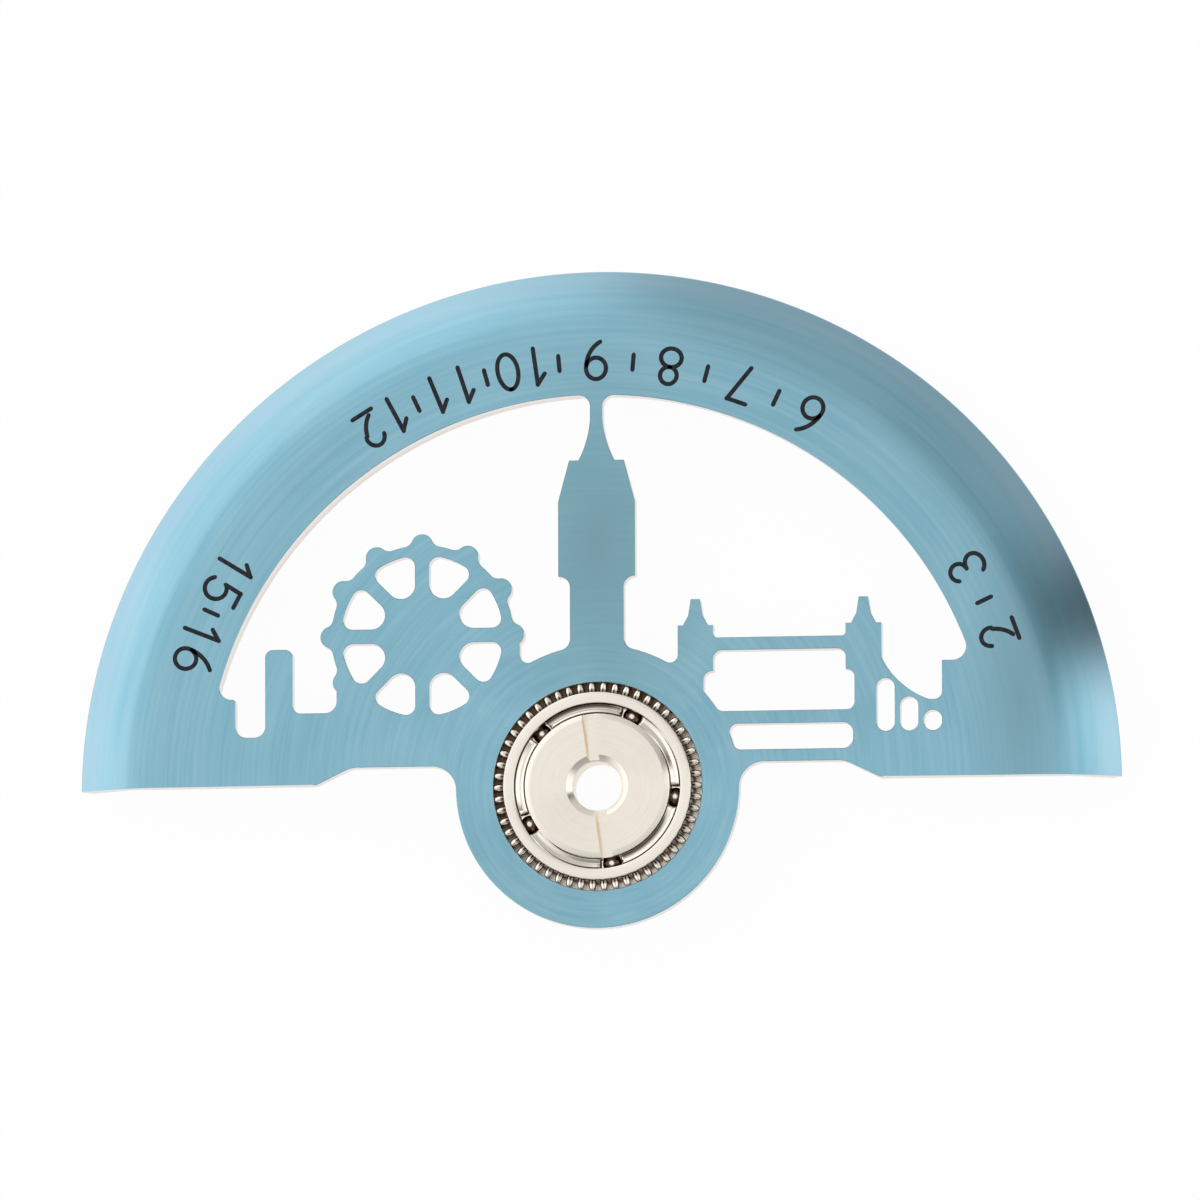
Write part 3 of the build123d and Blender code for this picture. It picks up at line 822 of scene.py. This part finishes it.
def noise_at(tree, point, detail, scale=1.0):
    """Socket of the noise at a point."""
    return add(tree, "TexNoise", {"Vector": point, "Scale": scale, "Detail": detail}).outputs["Fac"]


def axis_vectors(tree):
    """Two sockets: the direction away from the Z axis, and radius + height, both in Object coordinates."""
    x, y, z = add(tree, "SeparateXYZ", {0: surface_point(tree)}).outputs
    flat = add(tree, "CombineXYZ", {"X": x, "Y": y}).outputs[0]
    length = add(tree, "VectorMath", {0: flat}, operation="LENGTH").outputs["Value"]
    unit = add(tree, "VectorMath", {0: flat}, operation="NORMALIZE").outputs[0]
    return unit, add(tree, "Math", {0: length, 1: z}, operation="ADD").outputs[0]


def ring_noise(tree, away, reach, lines, along, detail):
    """Socket of noise in rings about the Z axis: its point is (away * along, reach * lines)."""
    swing = add(tree, "VectorMath", {0: away, "Scale": along}, operation="SCALE").outputs[0]
    upward = add(tree, "CombineXYZ", {"Z": product(tree, reach, lines)}).outputs[0]
    point = add(tree, "VectorMath", {0: swing, 1: upward}, operation="ADD").outputs[0]
    return noise_at(tree, point, detail)


def near(tree, centre, reach):
    """Socket that is 1 at a point in millimetres and falls to 0 on an ellipsoid about it."""
    place = {"Location": [c * mm for c in centre], "Scale": [c * mm for c in reach]}
    patch = add(tree, "Mapping", {"Vector": surface_point(tree), **place}, vector_type="TEXTURE").outputs[0]
    return add(tree, "TexGradient", {"Vector": patch}, gradient_type="SPHERICAL").outputs["Fac"]


def by_radius(tree, start, full, most=1.0):
    """Socket that goes from 0 at one distance from the Z axis, in millimetres, to its most at another."""
    flat = add(tree, "VectorMath", {0: surface_point(tree), 1: (1, 1, 0)}, operation="MULTIPLY").outputs[0]
    length = add(tree, "VectorMath", {0: flat}, operation="LENGTH").outputs["Value"]
    return mapped(tree, length, start * mm, full * mm, most=most)


def belt(tree, top, full, bottom):
    """Socket that is 1 from a full height down to a bottom, and 0 above a top and below the bottom."""
    height = add(tree, "SeparateXYZ", {0: surface_point(tree)}).outputs["Z"]
    upper = mapped(tree, height, top * mm, full * mm, interpolation_type="SMOOTHSTEP")
    return product(tree, upper, mapped(tree, height, bottom * mm, (bottom + belt_edge) * mm))


def shaded(tree, colour, shades):
    """Colour socket after some shades, each a tone and the function that makes the socket of its strength."""
    for tone, strength in shades:
        mix = add(tree, "Mix", {"Factor": strength(tree), "A": colour, "B": (*tone, 1)}, data_type="RGBA")
        colour = mix.outputs["Result"]
    return colour


def turned_metal(name, dark, light, roughness, anisotropy, lines=9000.0, depth=6e-7, spread=0.3, lacquer=0.0,
                 shades=()):
    """Metal with fine turning lines round the axis, in tone and bump, that draws its highlights across them.

    The shader's tangent leads away from the axis and a little up, so that it also holds on upright walls.
    """
    material, shader, tree = new_material(name)
    away, reach = axis_vectors(tree)
    fine = ring_noise(tree, away, reach, lines, 2.0, 4.0)
    broad = ring_noise(tree, away, reach, lines / broad_ratio, 3.0, 3.0)
    mix = add(tree, "Mix", {"Factor": broad_share, "A": fine, "B": broad}, data_type="FLOAT")
    tone = two_tone(tree, mix.outputs["Result"], dark, light, 0.5 - spread, 0.5 + spread)
    raised = add(tree, "VectorMath", {0: away, 1: (0, 0, tangent_rise)}, operation="ADD").outputs[0]
    across = add(
        tree, "VectorTransform", {0: raised}, vector_type="VECTOR", convert_from="OBJECT", convert_to="WORLD")
    fill(shader, {
        "Base Color": shaded(tree, tone, shades), "Normal": bumped(tree, fine, depth),
        "Tangent": across.outputs[0], "Metallic": 1.0, "Roughness": roughness, "Anisotropic": anisotropy,
        "Coat Weight": lacquer, "Coat IOR": lacquer_ior, "Coat Roughness": lacquer_roughness,
    })
    return material


def faced_steel(name, dark, light, roughness):
    """Metal with rings about each part's own middle, read from the polar UV map's V."""
    material, shader, tree = new_material(name)
    polar = add(tree, "UVMap", uv_map="polar").outputs[0]
    rings = add(tree, "Mapping", {"Vector": polar, "Scale": (0.15, 9.0, 1.0)}).outputs[0]
    noise = noise_at(tree, rings, 3.0)
    fill(shader, {
        "Base Color": two_tone(tree, noise, dark, light), "Normal": bumped(tree, noise, facing_depth),
        "Metallic": 1.0, "Roughness": roughness,
    })
    return material


def mottled(name, dark, light, metallic, roughness, grain, depth=0.0, shades=(), specular=0.5):
    """Finish whose tone and surface vary with fine grain, such as a filling, a ball or a sawn edge."""
    material, shader, tree = new_material(name)
    noise = noise_at(tree, surface_point(tree), 3.0, grain)
    tone = two_tone(tree, noise, dark, light, 0.3, 0.7)
    fill(shader, {
        "Base Color": shaded(tree, tone, shades), "Metallic": metallic, "Roughness": roughness,
        "Specular IOR Level": specular,
    })
    if depth:
        fill(shader, {"Normal": bumped(tree, noise, depth)})
    return material


# where shade is painted on the finishes, and where the blue is paler at the rim

def dull_tower(tree):
    """Strength of the painted shade on the clock tower: a greyer patch about (0, 6.2)."""
    return near(tree, (0, 6.2, plate_top), (3.2, 5.5, 5.5))


def dull_end(tree):
    """Strength of the painted shade on the flat at the band's right end: a duller patch about (10.8, 2)."""
    return near(tree, (10.8, 2.0, plate_top), (1.6, 5.0, 5.0))


def worn_rim(tree):
    """Strength of the paler tone near the rim: 0 within radius 12.5 mm, 0.5 from 13.0 mm."""
    return by_radius(tree, 12.5, 13.0, 0.5)


def dirtier_side(tree):
    """Share of the painted shade between the teeth.

    It is all of it from 0.9 mm towards (-0.64, 0.77), and 0.3 of it from 1.2 mm the other way.
    """
    along = add(tree, "VectorMath", {0: surface_point(tree), 1: (-0.64, 0.77, 0)}, operation="DOT_PRODUCT")
    return mapped(tree, along.outputs["Value"], -1.2 * mm, 0.9 * mm, least=0.3)


def between_teeth(tree):
    """Strength of the painted shade in the recesses between the teeth, over the flange."""
    return product(tree, belt(tree, 0.74, 0.5, 0.36), dirtier_side(tree))


def tooth_foot(tree):
    """Strength of the painted shade where the teeth meet the collar, so that their tips stand out as beads."""
    foot = by_radius(tree, collar_radius + 0.12, collar_radius + 0.07, 0.8)
    return product(tree, foot, belt(tree, plate_top + 0.02, plate_top + 0.005, 0.36))


def arc_residue(tree, centre, reach, start, full):
    """Strength of a painted shade line along the cage: near a point in millimetres, and from one radius to
    another.
    """
    patch = add(tree, "Math", {0: near(tree, centre, reach), 1: 3.0}, operation="MULTIPLY", use_clamp=True)
    return product(tree, patch.outputs[0], by_radius(tree, start, full, arc_shade_most))


def outer_arc(tree):
    """Strength of the painted shade along the cage's outer edge, at the upper left."""
    return arc_residue(tree, (-0.55, 1.98, cage_top), (1.3, 0.8, 1.0), 2.01, 2.05)


def inner_arc(tree):
    """Strength of the painted shade along the cage's inner edge, at the lower right."""
    return arc_residue(tree, (1.25, -1.45, cage_top), (1.0, 1.1, 1.0), 1.96, 1.92)


def round_balls(tree):
    """Strength of the painted shade on the balls, which leaves their tops bright."""
    return belt(tree, 0.748, 0.736, 0.2)


# pieces in their finishes

# blue coating with painted shade on the tower and at the band's right end, and paler near the rim
blue = turned_metal(
    "blue_coating", (0.095, 0.362, 0.485), (0.20, 0.467, 0.585), 0.27, 0.9, spread=0.2, lacquer=1.0,
    shades=[(tower_shade_blue, dull_tower), (end_shade_blue, dull_end), (rim_pale_blue, worn_rim)])
bare_edge = mottled("bare_edge", (0.84, 0.765, 0.725), (0.88, 0.81, 0.77), 1.0, 0.35, 9000.0, 3e-7)
alloy = turned_metal("heavy_alloy", (0.74, 0.69, 0.62), (0.88, 0.83, 0.76), 0.3, 0.5)
steel = turned_metal("turned_steel", (0.85, 0.785, 0.69), (0.93, 0.87, 0.775), 0.26, 0.75, lines=14000.0)
# painted shade between the teeth and where they meet the collar
toothed_steel = turned_metal(
    "toothed_steel", (0.87, 0.81, 0.72), (0.95, 0.90, 0.82), 0.26, 0.75, lines=14000.0,
    shades=[(painted_shade_brown, between_teeth), (foot_shade_brown, tooth_foot)])
# painted shade along the cage's edges
cage_metal = turned_metal(
    "cage_metal", (0.78, 0.72, 0.63), (0.88, 0.83, 0.75), 0.2, 0.3,
    shades=[(painted_shade_brown, outer_arc), (painted_shade_brown, inner_arc)])
rivet_metal = faced_steel("rivet_steel", (0.6, 0.58, 0.55), (0.74, 0.72, 0.68), 0.28)
# painted shade on the balls below their tops
ball_metal = mottled(
    "polished_steel", (0.86, 0.84, 0.81), (0.94, 0.93, 0.91), 1.0, 0.08, 4000.0,
    shades=[(ball_shade_brown, round_balls)])
filling = mottled(
    "engraving_fill", (0.012, 0.013, 0.016), (0.030, 0.031, 0.037), 0.0, 0.6, 9000.0, 8e-7, specular=0.15)
build_plate(blue, bare_edge)
build_weight(alloy)
build_rivets(rivet_metal)
build_gear_ring(toothed_steel)
build_inner_rings(steel)
build_cage(cage_metal)
build_balls(ball_metal)
build_scale(filling)


# camera, floor and light

floor_gap = 0.01              # between the weight's underside and the floor
white_share = 0.96            # of the floor, to the eye, metal and glass


def add_camera():
    """Camera at the photograph's angle: 7.3 and 5.8 degrees off the bearing's axis, from 449 mm."""
    tilt_x, tilt_y, roll = (math.radians(a) for a in (-7.3, -5.77, 0.21))
    turn = Matrix.Rotation(tilt_x, 3, "X") @ Matrix.Rotation(tilt_y, 3, "Y") @ Matrix.Rotation(roll, 3, "Z")
    pixels_per_mm, distance, picture = 39.37, 449.0, 1200
    axis_across, axis_down = 597.5, 786.1
    aim_x = (axis_across - picture / 2) / pixels_per_mm
    aim_y = (picture / 2 - axis_down) / pixels_per_mm
    back = turn.transposed()
    place = back @ Matrix.Translation((-aim_x, -aim_y, distance)).to_translation()
    camera = bpy.data.cameras.new("camera")
    camera.sensor_width = 36.0
    camera.lens = 36.0 * pixels_per_mm * distance / picture
    camera.clip_start, camera.clip_end = 0.01, 10.0
    matrix = back.to_4x4()
    matrix.translation = (place.x * mm, place.y * mm, (place.z + plate_top) * mm)
    obj = new_object("camera", camera)
    obj.matrix_world = matrix
    bpy.context.scene.camera = obj


def add_floor():
    """Plain pale floor under the weight, clear from below, and mostly white to the eye, metal and glass."""
    mesh = bpy.data.meshes.new("floor")
    half = 0.6
    z = (weight_bottom - floor_gap) * mm
    corners = [(-half, -half, z), (half, -half, z), (half, half, z), (-half, half, z)]
    mesh.from_pydata(corners, [], [(0, 1, 2, 3)])
    floor = new_object("floor", mesh)
    material, shader, tree = new_material("floor")
    fill(shader, {"Base Color": (0.93, 0.93, 0.93, 1), "Roughness": 0.9, "Specular IOR Level": 0.0})
    rays = add(tree, "LightPath").outputs
    direct = add(tree, "Math", {0: rays["Is Camera Ray"], 1: rays["Is Glossy Ray"]}, operation="MAXIMUM")
    clear = add(tree, "Math", {0: direct.outputs[0], 1: rays["Is Transmission Ray"]}, operation="MAXIMUM")
    share = product(tree, clear.outputs[0], white_share)
    glow = add(tree, "Emission", {"Color": (1, 1, 1, 1), "Strength": 1.0})
    above = add(tree, "MixShader", {0: share, 1: shader.outputs[0], 2: glow.outputs[0]})
    below = add(tree, "BsdfTransparent")
    side = add(tree, "NewGeometry").outputs["Backfacing"]
    both = add(tree, "MixShader", {0: side, 1: above.outputs[0], 2: below.outputs[0]})
    fill(next(n for n in tree.nodes if n.type == "OUTPUT_MATERIAL"), {"Surface": both.outputs[0]})
    mesh.materials.append(material)


# Light around the object, as (azimuth in degrees, level): high up, at a middle height, and near the horizon
high_light = [
    (-180, 1.2), (-140, 1.0), (-20, 0.9), (6, 0.9), (12, 1.2), (17, 1.5), (23.5, 1.6), (26, 1.0), (28.5, 0.3),
    (30, 0.12), (33, 0.15), (36, 0.4), (41, 0.55), (50, 0.6), (62, 0.7), (75, 0.85), (88, 0.9), (95, 1.05),
    (110, 1.25), (180, 1.2),
]
middle_light = [
    (-180, 1.9), (-158, 1.7), (-130, 1.1), (-116, 0.4), (-34, 0.4), (-18, 1.5), (13, 2.0), (18, 2.1),
    (21.5, 1.6), (24.5, 0.3), (26, 0.05), (32, 0.05), (34.5, 0.35), (36.5, 0.6), (42, 0.8), (50, 0.78),
    (66, 0.78), (78, 0.8), (88, 0.82), (93, 1.0), (98, 1.45), (104, 1.6), (112, 1.75), (130, 1.8),
    (165, 1.95), (180, 1.9),
]
low_light = [
    (-180, 1.8), (-140, 1.2), (-110, 0.9), (-40, 0.9), (-8, 1.5), (17, 1.9), (22, 0.35), (36, 0.5),
    (44, 0.95), (88, 1.0), (98, 1.6), (110, 1.9), (180, 1.8),
]
light_most = 2.2
overhead_light = 1.17
# sin(elevation) between which the middle level, the high one and overhead each take over
sky_steps = [(0.25, 0.37), (0.62, 0.78), (0.90, 0.96)]


def add_world():
    """Studio tent: levels by azimuth at three heights, even light overhead, and plain white to the camera."""
    world = bpy.data.worlds.new("studio")
    bpy.context.scene.world = world
    world.use_nodes = True
    tree = world.node_tree
    tree.nodes.clear()
    x, y, z = add(tree, "SeparateXYZ", {0: add(tree, "TexCoord").outputs["Generated"]}).outputs
    azimuth = add(tree, "Math", {0: y, 1: x}, operation="ARCTAN2").outputs[0]
    share = mapped(tree, azimuth, -math.pi, math.pi)

    def around(levels):
        node = add(tree, "ValToRGB", {"Fac": share})
        ramp = node.color_ramp
        while len(ramp.elements) < len(levels):
            ramp.elements.new(0.5)
        for element, (degrees, _) in zip(ramp.elements, levels):
            element.position = (degrees + 180) / 360
        for element, (_, level) in zip(ramp.elements, levels):
            element.color = (*[level / light_most] * 3, 1)
        return product(tree, node.outputs["Color"], light_most)

    sky = around(low_light)
    for above, step in zip((around(middle_light), around(high_light), overhead_light), sky_steps):
        rise = mapped(tree, z, *step, interpolation_type="SMOOTHSTEP")
        sky = add(tree, "Mix", {"Factor": rise, "A": sky, "B": above}, data_type="FLOAT").outputs["Result"]
    studio = add(tree, "Background", {"Strength": sky})
    white = add(tree, "Background", {"Color": (1, 1, 1, 1)})
    seen = add(tree, "LightPath").outputs["Is Camera Ray"]
    mix = add(tree, "MixShader", {0: seen, 1: studio.outputs[0], 2: white.outputs[0]})
    add(tree, "OutputWorld", {"Surface": mix.outputs[0]})


add_camera()
add_floor()
add_world()
bpy.context.scene.view_settings.view_transform = "Standard"
